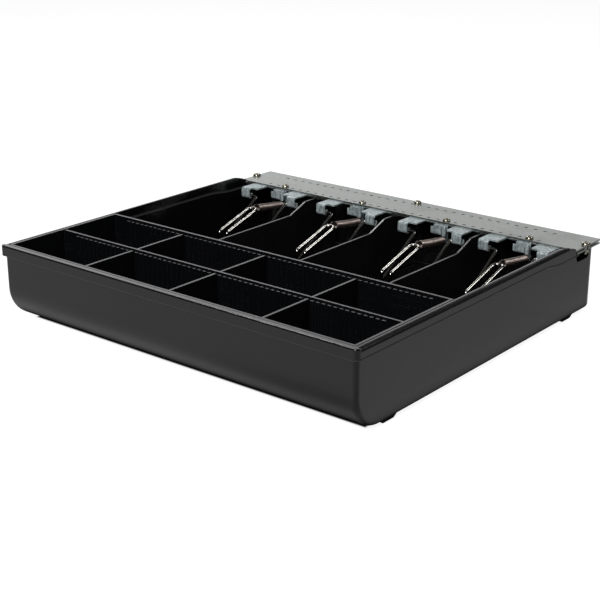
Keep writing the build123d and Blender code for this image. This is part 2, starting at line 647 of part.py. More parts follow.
def bracket(x0):
    """One bracket, whose screw stands at x0."""
    with BuildPart() as part:
        # Flat blank between and in front of the plates, each tab with a part that is bent and one that isn't
        right_tab = EYE_XS[1] + EYE_LENGTH
        tabs = (
            (EYE_XS[0], EYE_XS[0] + EYE_LENGTH, TAB_FRONT_Y),
            (EYE_XS[0], EYE_XS[0] + LEFT_TAB_WIDTH, TAB_FRONT_Y + TAB_STEP),
            (EYE_XS[1], right_tab, TAB_FRONT_Y),
            (EYE_XS[1] - RIGHT_TAB_INNER, right_tab, TAB_FRONT_Y + TAB_STEP),
        )
        base_depth = BASE_BACK - BASE_SETBACK
        with BuildSketch(Plane.XY.offset(SHEET_Z)) as blank:
            with Locations((x0, BASE_FRONT_Y + base_depth / 2)):
                Rectangle(2 * BASE_HALF_WIDTH, base_depth)
            for left, right, tip in tabs:
                length = BASE_FRONT_Y - tip
                with Locations((x0 + (left + right) / 2, tip + length / 2)):
                    Rectangle(right - left, length)
            tips = blank.vertices().group_by(Axis.Y)[1].sort_by(Axis.X)
            fillet([tips[1], tips[-2]], TAB_CORNER_R)
            with Locations((x0, CARRIER_Y)):
                Circle(SCREW_SHANK_R + SCREW_FIT, mode=Mode.SUBTRACT)
        extrude(amount=SHEET)
        # Curled eyes, each under the outer part of its tab
        for left in EYE_XS:
            with BuildSketch(Plane.YZ.offset(x0 + left)):
                with Locations((PIVOT_Y, PIVOT_Z)):
                    Circle(EYE_OUTER_R)
                tail = radians(EYE_TAIL)
                reach = 2 * EYE_OUTER_R
                with BuildLine():
                    Polyline(
                        (PIVOT_Y, PIVOT_Z),
                        (PIVOT_Y + reach * cos(tail), PIVOT_Z + reach * sin(tail)),
                        (PIVOT_Y, PIVOT_Z + reach),
                        (PIVOT_Y - reach, PIVOT_Z + reach),
                        (PIVOT_Y - reach, PIVOT_Z),
                        close=True,
                    )
                make_face(mode=Mode.SUBTRACT)
                add(bent_strip(FACE_Y, PIVOT_Z))
                with Locations((PIVOT_Y, PIVOT_Z)):
                    Circle(EYE_INNER_R, mode=Mode.SUBTRACT)
            extrude(amount=EYE_LENGTH)
        # Centre hook: a leg goes down behind the upper plate's edge, a web forward and a face up
        face_left = x0 - FACE_LEFT
        face_right = x0 + FACE_RIGHT
        slit_left = face_right - TONGUE - SLIT_WIDTH
        face_top = SHEET_TOP_Z - FACE_TOP_DROP
        low_z = face_top - FACE_HEIGHT
        with BuildSketch(Plane.YZ.offset(face_left)) as hook:
            with BuildLine():
                Polyline(
                    (CENTRE_FACE_Y, face_top),
                    (CENTRE_FACE_Y, low_z),
                    (BASE_FRONT_Y + SHEET, low_z),
                    (BASE_FRONT_Y + SHEET, SHEET_TOP_Z),
                    (BASE_FRONT_Y, SHEET_TOP_Z),
                    (BASE_FRONT_Y, low_z + SHEET),
                    (CENTRE_FACE_Y + SHEET, low_z + SHEET),
                    (CENTRE_FACE_Y + SHEET, face_top),
                    close=True,
                )
            make_face()
            fillet(hook.vertices().group_by(Axis.Y)[0], SHEET_BEND_R)
            fillet(hook.vertices().group_by(Axis.Y)[1], SHEET_BEND_R - SHEET)
        extrude(amount=slit_left - face_left)
        # The face goes on to the right, where a slit parts off a tongue, and is notched at its top left
        with BuildSketch(Plane.XZ.offset(-CENTRE_FACE_Y)) as face:
            with Locations(((slit_left + face_right) / 2, (low_z + face_top) / 2)):
                Rectangle(face_right - slit_left, face_top - low_z)
            fillet(face.vertices().sort_by(Axis.X)[-2:], FACE_CORNER_R)
            with Locations((slit_left + SLIT_WIDTH / 2, low_z)):
                Rectangle(SLIT_WIDTH, 2 * SLIT_HEIGHT, mode=Mode.SUBTRACT)
        extrude(amount=-SHEET)
        with BuildSketch(Plane.XZ.offset(-CENTRE_FACE_Y)):
            with Locations((face_left, face_top)):
                Rectangle(2 * FACE_NOTCH_WIDTH, 2 * FACE_NOTCH_HEIGHT)
        extrude(amount=-SHEET, mode=Mode.SUBTRACT)
        # Spring anchor, a strip bent down beside the hook's leg
        with BuildSketch(Plane.YZ.offset(x0 + ANCHOR_SHIFT)):
            with BuildLine():
                toe_z = SHEET_TOP_Z - ANCHOR_HEIGHT
                Polyline(
                    (ANCHOR_Y, SHEET_TOP_Z),
                    (ANCHOR_Y + SHEET, SHEET_TOP_Z),
                    (ANCHOR_Y + SHEET, toe_z),
                    (ANCHOR_Y - ANCHOR_TOE, toe_z),
                    (ANCHOR_Y - ANCHOR_TOE, toe_z + SHEET),
                    (ANCHOR_Y, toe_z + SHEET),
                    close=True,
                )
            make_face()
        extrude(amount=ANCHOR_WIDTH / 2, both=True)
    return part.part


for number, x in enumerate(CARRIER_XS, start=1):
    piece = bracket(x)
    piece.label = f"clip_bracket_{number}"
    export_step(piece, f"parts/clip_bracket_{number}.step")

# Bill clips: each one bent wire that turns in the bracket's eyes and rests on the floor
REST_Z = FLOOR_Z + WIRE_R + FLOOR_CONTACT


def clip_path(x0):
    """Corners of the clip's centre line, from its left end to its right end."""
    loop = (PIVOT_Y - LOOP_RUN, PIVOT_Z - LOOP_DROP)
    arm = [
        (ARM_HALF_GAP, PIVOT_Y, PIVOT_Z),
        (ARM_HALF_GAP, PIVOT_Y - ARM_RUN, REST_Z + ARM_FOOT_RISE),
        (ARM_HALF_GAP, PIVOT_Y - NOSE_RUN, REST_Z),
        (NOSE_HALF_GAP, PIVOT_Y - NOSE_RUN, REST_Z),
        (NOSE_HALF_GAP, PIVOT_Y - TIP_RUN, PIVOT_Z - TIP_DROP),
        (NOSE_HALF_GAP, loop[0], loop[1]),
    ]
    left = [(x0 - x, y, z) for x, y, z in arm]
    right = [(x0 + x, y, z) for x, y, z in reversed(arm)]
    start = (x0 - ARM_HALF_GAP - PIVOT_LEFT_END, PIVOT_Y, PIVOT_Z)
    end = (x0 + ARM_HALF_GAP + PIVOT_RIGHT_END, PIVOT_Y, PIVOT_Z)
    return [start, *left, *right, end]


BENDS = [PIVOT_BEND_R, ARM_BEND_R, FOOT_BEND_R, NOSE_BEND_R, TIP_BEND_R, LOOP_BEND_R]
for number, x in enumerate(CARRIER_XS, start=1):
    with BuildPart() as bill_clip:
        with BuildLine() as wire:
            FilletPolyline(*clip_path(x), radius=[*BENDS, *reversed(BENDS)])
        centre_line = wire.wires()[0]
        with BuildSketch(Plane(origin=centre_line @ 0, z_dir=centre_line % 0)):
            Circle(WIRE_R)
        sweep(path=centre_line)
    print("clip", number, "wire", round(centre_line.length, 1), "volume", round(bill_clip.part.volume))
    bill_clip.part.label = f"bill_clip_{number}"
    export_step(bill_clip.part, f"parts/bill_clip_{number}.step")

# Clip springs: wound between the clip's loop and the anchor, one tube each


def arc_through(start, corner, end):
    """The arc that leaves start towards the corner and reaches end from it."""
    chord_middle = (start + end) * (1 / 2)
    half_chord = (end - start).length / 2
    rise = (corner - chord_middle).length
    if rise == 0:
        return Line(start, end)
    sagitta = half_chord * (sqrt(half_chord**2 + rise**2) - half_chord) / rise
    return ThreePointArc(start, chord_middle + (corner - chord_middle) * (sagitta / rise), end)


def biarc(start, start_dir, end, end_dir):
    """Two arcs that meet smoothly and leave both points in the given directions."""
    gap = end - start
    both = start_dir + end_dir
    a = 4 - both.dot(both)
    b = 2 * gap.dot(both)
    c = -gap.dot(gap)
    handle = (-b + sqrt(b**2 - 4 * a * c)) / (2 * a)
    first = start + start_dir * handle
    second = end - end_dir * handle
    joint = (first + second) * (1 / 2)
    arc_through(start, first, joint)
    arc_through(joint, second, end)


def spring_frame(x0):
    """Hook centres and axes of the spring of the bracket at x0."""
    loop = Vector(x0, PIVOT_Y - LOOP_RUN, PIVOT_Z - LOOP_DROP)
    anchor = Vector(x0 + ANCHOR_SHIFT, ANCHOR_Y + SHEET, PIVOT_Z - LOOP_DROP - SPRING_DROP)
    axis = (anchor - loop).normalized()
    across = axis.cross(Vector(0, 0, 1)).normalized()
    up = across.cross(axis)
    hook_r = SPRING_R - SPRING_WIRE_R
    front = loop + axis * (hook_r - WIRE_R - SPRING_HOOK_GAP)
    rear = anchor - axis * (sqrt(hook_r**2 - (ANCHOR_WIDTH / 2) ** 2) - SPRING_HOOK_GAP)
    return front, rear, axis, across, up


def hook_points(centre, away, side, turn):
    """Points and directions round a hook, from the coil's end to the hook's own end."""
    points = []
    steps = 3
    for k in range(steps + 1):
        angle = radians(turn * k / steps)
        radial = side * cos(angle) + away * sin(angle)
        heading = away * cos(angle) - side * sin(angle)
        points.append((centre + radial * SPRING_R, heading))
    last, heading = points[-1]
    return points, last + heading * (2 * SPRING_WIRE_R)


def spring_knots(x0):
    """Knots of the spring's centre line: front hook, turns and rear hook."""
    front, rear, axis, across, up = spring_frame(x0)
    coil_start = front + axis * (SPRING_R + SPRING_LEAD)
    coil_end = rear - axis * (SPRING_R + SPRING_LEAD)
    pitch = (coil_end - coil_start).length / SPRING_TURNS
    rise = pitch / (2 * pi)
    coil = []
    for half in range(2 * SPRING_TURNS + 1):
        angle = radians(HALF_TURN_DEG * half)
        radial = across * cos(angle) + up * sin(angle)
        heading = up * cos(angle) - across * sin(angle)
        place = coil_start + axis * (pitch * half / 2) + radial * SPRING_R
        coil.append((place, (heading * SPRING_R + axis * rise).normalized()))
    front_hook, front_end = hook_points(front, axis * -1, up * -1, HOOK_TURN_DEG)
    rear_hook, rear_end = hook_points(rear, axis, across, HOOK_TURN_DEG)
    lead = [(point, heading * -1) for point, heading in reversed(front_hook)]
    return front_end, [*lead, *coil, *rear_hook], rear_end


def least_gap(path):
    """Least distance between the tube's surfaces, from points along its centre line."""
    count = int(path.length / SPRING_WIRE_R)
    step = path.length / count
    places = [path.position_at(k / count) for k in range(count + 1)]
    apart = int(NEAR_WIRES * SPRING_WIRE_R / step)
    least = path.length
    for k, place in enumerate(places):
        for other in places[k + apart:k + LOOK_AHEAD]:
            least = min(least, (other - place).length)
    return least - 2 * SPRING_WIRE_R


for number, x in enumerate(CARRIER_XS, start=1):
    front_end, knots, rear_end = spring_knots(x)
    with BuildPart() as clip_spring:
        with BuildLine() as turns:
            Line(front_end, knots[0][0])
            for (start, start_dir), (end, end_dir) in zip(knots, knots[1:]):
                biarc(start, start_dir, end, end_dir)
            Line(knots[-1][0], rear_end)
        centre_line = turns.wires()[0]
        with BuildSketch(Plane(origin=centre_line @ 0, z_dir=centre_line % 0)):
            Circle(SPRING_WIRE_R)
        sweep(path=centre_line)
    tube = pi * SPRING_WIRE_R**2 * centre_line.length
    print("spring", number, "wires", len(turns.wires()), "gap", round(least_gap(centre_line), 3))
    print("length", round(centre_line.length, 1), "volume", round(clip_spring.part.volume, 1), round(tube, 1))
    clip_spring.part.label = f"clip_spring_{number}"
    export_step(clip_spring.part, f"parts/clip_spring_{number}.step")
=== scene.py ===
"""Looks of the coin tray: a black moulded till insert with its lift-out coin section and four wire clips.

Metres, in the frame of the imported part: +Z up, the lip's front face at y = -0.187, the floor at z = 0.
"""

import math

import bpy
import numpy as np
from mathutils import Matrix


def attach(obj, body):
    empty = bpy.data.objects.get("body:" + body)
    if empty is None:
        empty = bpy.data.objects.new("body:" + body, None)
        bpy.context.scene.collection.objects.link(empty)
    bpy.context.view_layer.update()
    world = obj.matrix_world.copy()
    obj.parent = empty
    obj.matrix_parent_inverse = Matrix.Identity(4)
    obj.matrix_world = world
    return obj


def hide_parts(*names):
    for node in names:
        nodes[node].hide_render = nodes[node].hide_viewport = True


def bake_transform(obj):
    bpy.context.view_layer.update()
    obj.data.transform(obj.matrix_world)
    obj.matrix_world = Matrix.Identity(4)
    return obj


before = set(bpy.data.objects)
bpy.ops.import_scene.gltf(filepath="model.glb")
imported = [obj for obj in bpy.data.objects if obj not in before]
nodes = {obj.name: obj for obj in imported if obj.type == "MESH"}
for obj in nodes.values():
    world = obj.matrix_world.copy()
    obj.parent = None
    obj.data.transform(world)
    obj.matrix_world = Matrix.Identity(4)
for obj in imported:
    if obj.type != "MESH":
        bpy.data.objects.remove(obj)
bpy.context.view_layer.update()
MM = 0.001

# Lip band round the tray, in mm: its lower edge, which droops towards the rear, the faces that carry it, and
# a painted highlight line under that edge
LIP_LOW_Z = 65.5
LIP_DROOP = 3.0
LIP_DROOP_START_Y, LIP_DROOP_END_Y = 83.0, 118.0
LIP_FRONT_Y, LIP_REAR_Y = -180.0, 149.0
LIP_SIDE_X = 194.5
PAINTED_HIGHLIGHT_LINE_DROP = 0.4
DULL_LINE_RISE = 0.8
LIP_LINE_HALF = 0.4
LIP_PAINTED_HIGHLIGHT_SHARE = 0.22
LIP_DULLNESS = 0.6

# Tops of the coin section's ribs, in mm, painted pale as a highlight, and the least upward part of a normal
# that counts as flat
RIB_TOP_Z = 72.0
RIB_TOP_HALF = 0.5
RIB_PAINTED_HIGHLIGHT_SHARE = 0.8
FLAT_UPWARD = 0.9


class Shade:
    """A socket of a node tree that reads like a number: each sum or product of it adds a Math node."""

    def __init__(self, tree, socket=None):
        self.tree = tree
        self.socket = socket

    def make(self, kind, settings=None, sockets=None, out=0):
        """Adds a node, its settings first and then its sockets' values or links, and gives one output."""
        node = self.tree.nodes.new(kind)
        for name, value in (settings or {}).items():
            setattr(node, name, value)
        for name, value in (sockets or {}).items():
            if isinstance(value, Shade):
                self.tree.links.new(value.socket, node.inputs[name])
            else:
                node.inputs[name].default_value = value
        return Shade(self.tree, node.outputs[out] if len(node.outputs) else None)

    def calculate(self, operation, first, second):
        """One Math node on two values."""
        return self.make("ShaderNodeMath", {"operation": operation}, {0: first, 1: second})

    def __add__(self, other):
        return self.calculate("ADD", self, other)

    def __radd__(self, other):
        return self.calculate("ADD", other, self)

    def __sub__(self, other):
        return self.calculate("SUBTRACT", self, other)

    def __rsub__(self, other):
        return self.calculate("SUBTRACT", other, self)

    def __mul__(self, other):
        return self.calculate("MULTIPLY", self, other)

    def __rmul__(self, other):
        return self.calculate("MULTIPLY", other, self)

    def __gt__(self, other):
        return self.calculate("GREATER_THAN", self, other)

    def __lt__(self, other):
        return self.calculate("LESS_THAN", self, other)

    def __neg__(self):
        return 0.0 - self

    def __abs__(self):
        return self.calculate("ABSOLUTE", self, 0.0)


def emptied(holder):
    """The root of a material's or a world's node tree, with its nodes cleared away."""
    holder.use_nodes = True
    holder.node_tree.nodes.clear()
    return Shade(holder.node_tree)


# Patterns that the finishes share


def parts_of(root, vector):
    """The x, y and z of a vector."""
    split = root.make("ShaderNodeSeparateXYZ", sockets={0: vector})
    return [Shade(root.tree, socket) for socket in split.socket.node.outputs]


def greatest(root, first, *others):
    """The greatest of some values."""
    for other in others:
        first = root.calculate("MAXIMUM", first, other)
    return first


def noise(root, place, scale, detail, stretch=(1, 1, 1)):
    """Cloudy noise from 0 to 1, drawn out by dividing each axis of its place by that axis's stretch."""
    shares = tuple(1 / s for s in stretch)
    moved = root.make("ShaderNodeMapping", sockets={"Vector": place, "Scale": shares})
    sockets = {"Vector": moved, "Scale": scale, "Detail": detail}
    return root.make("ShaderNodeTexNoise", sockets=sockets, out="Fac")


def ramp(root, value, low, high):
    """Runs smoothly from 0 at low to 1 at high."""
    settings = {"interpolation_type": "SMOOTHSTEP"}
    return root.make("ShaderNodeMapRange", settings, {"Value": value, "From Min": low, "From Max": high})


def band(root, value, middle, half):
    """1 where the value is within half a width of the middle, fading to 0 over as much again."""
    return 1 - ramp(root, abs(value - middle), half, 2 * half)


def tint(root, share, first, second):
    """The first colour where the share is 0, the second where it is 1."""
    first, second = (colour if isinstance(colour, Shade) else (*colour, 1) for colour in (first, second))
    return root.make("ShaderNodeMix", {"data_type": "RGBA"}, {"Factor": share, 6: first, 7: second}, out=2)


def edge_share(root, soft):
    """About 1 along sharp edges and 0 on flats: 1 minus the dot product of the true and rounded normals."""
    flat = root.make("ShaderNodeNewGeometry", out="Normal")
    dot = root.make("ShaderNodeVectorMath", {"operation": "DOT_PRODUCT"}, {0: flat, 1: soft}, out="Value")
    return ramp(root, 1 - dot, low=0.01, high=0.14)


def bump(root, height, depth, soft, strength):
    """A bump of the given depth in mm, laid over the softened edges if there are any."""
    sockets = {"Height": height, "Distance": depth * MM, "Strength": strength}
    if soft:
        sockets["Normal"] = soft
    return root.make("ShaderNodeBump", sockets=sockets)


# Marks that a moulding has at its own edges: a share of painted highlight, and extra roughness

# Pale grey of the painted highlights on the lip line and the rib tops
PAINTED_HIGHLIGHT_PLASTIC = (0.16, 0.162, 0.17)


def lip_marks(root, place):
    """A painted highlight line under the lip's lower edge, and on the sides a dull line just over it."""
    x, y, z = parts_of(root, place)
    side = (abs(x) > LIP_SIDE_X * MM) * (y < LIP_REAR_Y * MM)
    outside = greatest(root, y < LIP_FRONT_Y * MM, side)
    droop = ramp(root, y, LIP_DROOP_START_Y * MM, LIP_DROOP_END_Y * MM) * LIP_DROOP * MM
    # A pale band just under the lip's lower edge: a painted highlight
    painted_highlight = band(root, z + droop, (LIP_LOW_Z - PAINTED_HIGHLIGHT_LINE_DROP) * MM, LIP_LINE_HALF * MM) * outside
    dull = band(root, z + droop, (LIP_LOW_Z + DULL_LINE_RISE) * MM, LIP_LINE_HALF * MM) * side
    return painted_highlight * LIP_PAINTED_HIGHLIGHT_SHARE, dull * LIP_DULLNESS


def rib_marks(root, place):
    """The flat tops of the coin section's ribs, painted pale as a highlight and no duller."""
    height = parts_of(root, place)[2]
    upward = parts_of(root, root.make("ShaderNodeNewGeometry", out="Normal"))[2]
    # Flat upward faces at the rib tops get a painted highlight
    painted_highlight = (upward > FLAT_UPWARD) * band(root, height, RIB_TOP_Z * MM, RIB_TOP_HALF * MM)
    return painted_highlight * RIB_PAINTED_HIGHLIGHT_SHARE, 0.0


# Finishes


def finish(name, edge, build):
    """A material: build gives its sockets from a softened normal, and edge is the softening in mm."""
    material = bpy.data.materials.new(name)
    root = emptied(material)
    soft = root.make("ShaderNodeBevel", {"samples": 4}, {"Radius": edge * MM}) if edge else None
    shader = root.make("ShaderNodeBsdfPrincipled", sockets=build(root, soft))
    root.make("ShaderNodeOutputMaterial", sockets={"Surface": shader})
    return material


def moulded(base, dusty, gloss, marks=None):
    """Black moulded plastic: fine grain, flow clouds, rubbed patches, hair scratches and dust specks."""

    def build(root, soft):
        place = root.make("ShaderNodeTexCoord", out="Object")
        grain = noise(root, place, scale=1900, detail=2)
        cloud = noise(root, place, scale=22, detail=3)
        rub = noise(root, place, scale=70, detail=4, stretch=(3, 1, 1))
        hair = noise(root, place, scale=900, detail=2, stretch=(40, 3, 1))
        scratch = ramp(root, hair, low=0.66, high=0.74)
        dust = ramp(root, noise(root, place, scale=1500, detail=1), low=0.74, high=0.8)
        speck = dust * ramp(root, cloud, low=0.45, high=0.7)
        edge = edge_share(root, soft)
        pale = edge * 0.25 + speck * 0.5 + scratch * rub * 0.16
        rough = gloss + (cloud - 0.5) * 0.1 + (rub - 0.5) * 0.08 + scratch * 0.05 + edge * 0.04
        colour = tint(root, pale, base, dusty)
        if marks:
            # The marks' first share paints a pale highlight into the colour
            painted_highlight, dull = marks(root, place)
            rough = rough + dull
            colour = tint(root, painted_highlight, colour, PAINTED_HIGHLIGHT_PLASTIC)
        height = grain + cloud * 1.5 - scratch * 0.4
        return {
            "Base Color": colour,
            "Roughness": rough,
            "Normal": bump(root, height, depth=0.006, soft=soft, strength=0.6),
            "IOR": 1.5,
            "Coat Weight": 0.0,
        }

    return build


def sheet_steel(base, bright, gloss, streak_run, metal):
    """Zinc-plated sheet: rolling streaks, a fine crystal mottle, fingermarks and brighter cut edges."""

    def build(root, soft):
        place = root.make("ShaderNodeTexCoord", out="Object")
        streak = noise(root, place, scale=1400, detail=3, stretch=streak_run)
        mottle = noise(root, place, scale=380, detail=3)
        fingermark = ramp(root, noise(root, place, scale=26, detail=5), low=0.52, high=0.7)
        spot = ramp(root, noise(root, place, scale=700, detail=1), low=0.72, high=0.8)
        edge = edge_share(root, soft)
        crystal = ramp(root, mottle, low=0.32, high=0.68) * 0.5
        rolled = ramp(root, streak, low=0.3, high=0.7) * 0.6
        rough = gloss + (mottle - 0.5) * 0.12 + (streak - 0.5) * 0.14 + fingermark * 0.07 + spot * 0.1
        return {
            "Base Color": tint(root, edge * 0.7 + crystal + rolled - spot * 0.5 - 0.2, base, bright),
            "Metallic": metal + (streak - 0.5) * 0.06,
            "Roughness": rough - edge * 0.1,
            "Normal": bump(root, streak + mottle * 1.2, depth=0.006, soft=soft, strength=0.7),
        }

    return build


def turned_metal(base, bright, gloss, tarnish):
    """Plated screw or nut: turning marks, darker tarnish in patches and brighter worn edges."""

    def build(root, soft):
        place = root.make("ShaderNodeTexCoord", out="Object")
        mark = noise(root, place, scale=2600, detail=2, stretch=(1, 1, 6))
        patch = ramp(root, noise(root, place, scale=420, detail=3), low=0.42, high=0.66)
        edge = edge_share(root, soft)
        colour = tint(root, patch * 0.6 - edge * 0.5, base, tarnish)
        return {
            "Base Color": tint(root, edge * 0.6, colour, bright),
            "Metallic": 1.0,
            "Roughness": gloss + patch * 0.16 + (mark - 0.5) * 0.12,
            "Normal": bump(root, mark, depth=0.004, soft=soft, strength=0.6),
        }

    return build


def drawn_wire(base, tarnish, gloss):
    """Drawn and plated wire: fine die lines along its length on its own map, dull patches and pits."""

    def build(root, soft):
        along = root.make("ShaderNodeUVMap", {"uv_map": "run"})
        place = root.make("ShaderNodeTexCoord", out="Object")
        line = noise(root, along, scale=5200, detail=2, stretch=(1, 60, 1))
        patch = ramp(root, noise(root, place, scale=240, detail=4), low=0.46, high=0.68)
        pit = ramp(root, noise(root, place, scale=1800, detail=1), low=0.7, high=0.78)
        return {
            "Base Color": tint(root, patch * 0.45 + pit * 0.4 + (line - 0.5) * 0.3, base, tarnish),
            "Metallic": 1.0,
            "Roughness": gloss + patch * 0.1 + (line - 0.5) * 0.1 + pit * 0.15,
            "Normal": bump(root, line - pit * 0.6, depth=0.004, soft=soft, strength=0.5),
        }

    return build


# Each finish's softening radius in mm, its surface, and the starts of the names that wear it
FINISHES = {
    "hull_plastic": (
        0.45,
        moulded(base=(0.0022, 0.0022, 0.0025), dusty=(0.040, 0.040, 0.042), gloss=0.20, marks=lip_marks),
        ("tray_body",),
    ),
    "coin_plastic": (
        0.40,
        moulded(base=(0.0016, 0.0018, 0.0022), dusty=(0.045, 0.046, 0.050), gloss=0.24, marks=rib_marks),
        ("coin_tray", "coin_divider"),
    ),
    "divider_plastic": (
        0.5,
        moulded(base=(0.0030, 0.0030, 0.0032), dusty=(0.045, 0.045, 0.047), gloss=0.29),
        ("bill_divider",),
    ),
    "foot_rubber": (
        0.5,
        moulded(base=(0.0030, 0.0030, 0.0030), dusty=(0.020, 0.020, 0.020), gloss=0.62),
        ("foot_",),
    ),
    "plate_zinc": (
        0.3,
        sheet_steel(
            base=(0.245, 0.258, 0.247),
            bright=(0.38, 0.40, 0.385),
            gloss=0.34,
            streak_run=(60, 1, 1),
            metal=0.94,
        ),
        ("upper_plate", "lower_plate"),
    ),
    "bracket_zinc": (
        0.35,
        sheet_steel(
            base=(0.17, 0.205, 0.21),
            bright=(0.58, 0.65, 0.66),
            gloss=0.40,
            streak_run=(1, 1, 60),
            metal=0.55,
        ),
        ("clip_bracket",),
    ),
    "screw_nickel": (
        0.25,
        turned_metal(
            base=(0.36, 0.34, 0.28),
            bright=(0.70, 0.68, 0.62),
            gloss=0.20,
            tarnish=(0.16, 0.135, 0.09),
        ),
        ("carrier_screw", "end_screw", "end_nut", "rear_screw"),
    ),
    "clip_nickel": (
        0,
        drawn_wire(base=(0.27, 0.262, 0.245), tarnish=(0.16, 0.148, 0.13), gloss=0.08),
        ("bill_clip",),
    ),
    "spring_steel": (
        0,
        drawn_wire(base=(0.20, 0.165, 0.15), tarnish=(0.11, 0.085, 0.07), gloss=0.36),
        ("clip_spring",),
    ),
}
MATERIALS = {name: finish(name, edge, build) for name, (edge, build, starts) in FINISHES.items()}


def wear(piece, name):
    """Gives a piece the finish that goes with its name."""
    kind = next(kind for kind, (edge, build, starts) in FINISHES.items() if name.startswith(starts))
    piece.data.materials.clear()
    piece.data.materials.append(MATERIALS[kind])


for name, node in nodes.items():
    wear(node, name)


# Surfaces

# A wire's rounded end: the shares of the way that its rings are from the tip to the full wire
DOME_SHARES = np.array([0.0, 0.35, 0.65, 0.85])
DOME_LENGTH_SHARE = 0.5
DOME_TIP_SHARE = 0.08

# Spacing of the rings on a wire's straight runs, and how near to a bend's own rings they come
RING_SPACING = 1.6 * MM
RING_CLEARANCE = 0.5 * MM


def put_in_scene(name, data):
    """A new object of the scene that holds a mesh, a lamp or a camera."""
    piece = bpy.data.objects.new(name, data)
    bpy.context.scene.collection.objects.link(piece)
    return piece


def unit(vectors):
    """Vectors divided by their lengths."""
    return vectors / np.linalg.norm(vectors, axis=-1, keepdims=True)


def distances(path):
    """The distance along a path to each of its points."""
    return np.concatenate([[0], np.cumsum(np.linalg.norm(np.diff(path, axis=0), axis=1))])


def carried_frames(path):
    """Tangent and two normals at each point of a path, untwisted.

    A trial normal square to the tangent is turned at every point by the sum of the twists up to it. A twist
    is the angle, about the next tangent, from the last trial normal carried over untwisted to the next one.
    """
    tangent = unit(np.gradient(path, axis=0))
    least = np.eye(3)[np.argmin(np.abs(tangent), axis=1)]
    trial = unit(least - np.sum(least * tangent, axis=1, keepdims=True) * tangent)
    before, after = tangent[:-1], tangent[1:]
    turn = np.cross(before, after)
    cosine = np.sum(before * after, axis=1, keepdims=True)
    carried = trial[:-1] * cosine + np.cross(turn, trial[:-1])
    carried += turn * np.sum(turn * trial[:-1], axis=1, keepdims=True) / (1 + cosine)
    sine = np.sum(np.cross(carried, trial[1:]) * after, axis=1)
    steps = np.arctan2(sine, np.sum(carried * trial[1:], axis=1))
    twist = np.concatenate([[0], np.cumsum(steps)])[:, None]
    side = np.cross(tangent, trial)
    normal = trial * np.cos(twist) - side * np.sin(twist)
    return tangent, normal, np.cross(tangent, normal)


def tube(name, path, radius, sides):
    """A round wire: each ring is a circle of the wire's radius square to the path.

    Its first and last rings close to a dome, where a ring's width is the radius times the root of
    1 - (1 - s) squared at the share s of the dome. The map called run holds the distance round the wire and
    along it.
    """
    tangent, normal, other = carried_frames(path)
    extra = len(DOME_SHARES)
    short = 1 - DOME_SHARES
    share = np.concatenate([DOME_SHARES, np.ones(len(path)), DOME_SHARES[::-1]])
    rings = np.concatenate([np.repeat(path[:1], extra, axis=0), path, np.repeat(path[-1:], extra, axis=0)])
    count = len(rings)
    out = np.concatenate([-short, np.zeros(len(path)), short[::-1]])[:, None] * radius * DOME_LENGTH_SHARE
    pick = np.clip(np.arange(count) - extra, 0, len(path) - 1)
    rings = rings + tangent[pick] * out
    width = radius * np.sqrt(1 - (1 - share) ** 2).clip(DOME_TIP_SHARE)[:, None, None]
    angle = np.linspace(0, 2 * np.pi, sides, endpoint=False)[None, :, None]
    circle = normal[pick][:, None] * np.cos(angle) + other[pick][:, None] * np.sin(angle)
    points = rings[:, None] + width * circle
    ring, side = np.meshgrid(np.arange(count - 1), np.arange(sides), indexing="ij")
    here, there = ring * sides, (ring + 1) * sides
    after = (side + 1) % sides
    faces = np.stack([here + side, here + after, there + after, there + side], -1).reshape(-1, 4).tolist()
    faces += [list(range(sides))[::-1], list(range((count - 1) * sides, count * sides))]
    mesh = bpy.data.meshes.new(name)
    mesh.from_pydata(points.reshape(-1, 3).tolist(), [], faces)
    run = distances(rings)
    around = np.stack([side, side + 1, side + 1, side], -1) * (2 * np.pi * radius / sides)
    along = np.stack([run[ring], run[ring], run[ring + 1], run[ring + 1]], -1)
    wall = np.stack([around, along], -1).reshape(-1, 2)
    ends = np.zeros((2 * sides, 2))
    mesh.uv_layers.new(name="run").data.foreach_set("uv", np.concatenate([wall, ends]).ravel())
    mesh.polygons.foreach_set("use_smooth", np.ones(len(faces), bool))
    mesh.update()
    return put_in_scene(name, mesh)


def bent_path(corners, radii, step=9):
    """A wire's centre line: straight runs between corners, and at each corner the arc that touches both.

    An arc's points are centre + radius * (sin(a) * ahead - cos(a) * inward), for a from minus half the turn
    to plus half the turn.
    """
    into = unit(corners[1:-1] - corners[:-2])
    away = unit(corners[2:] - corners[1:-1])
    turn = np.arccos(np.clip(np.sum(into * away, axis=1), -1, 1))
    inward = unit(away - into)
    centre = corners[1:-1] + inward * (radii / np.cos(turn / 2))[:, None]
    ahead = unit(into + away)
    angle = np.linspace(-0.5, 0.5, step)[None, :, None] * turn[:, None, None]
    swing = np.sin(angle) * ahead[:, None] - np.cos(angle) * inward[:, None]
    arcs = (centre[:, None] + radii[:, None, None] * swing).reshape(-1, 3)
    path = np.concatenate([corners[:1], arcs, corners[-1:]])
    # Long runs get even points of their own, so that the wire's rings stay close
    run = distances(path)
    even = np.arange(run[0], run[-1], RING_SPACING)
    even = even[np.min(np.abs(even[:, None] - run[None, :]), axis=1) > RING_CLEARANCE]
    places = np.sort(np.concatenate([run, even]))
    return np.stack([np.interp(places, run, path[:, k]) for k in range(3)], axis=1)


def hermite(start, start_way, end, end_way, count):
    """A smooth cubic from start to end that leaves and arrives along the two ways, without its two ends."""
    t = np.linspace(0, 1, count)[1:-1, None]
    rise = t * t * (3 - 2 * t)
    return start * (1 - rise) + end * rise + start_way * (t * (1 - t) ** 2) - end_way * (t * t * (1 - t))


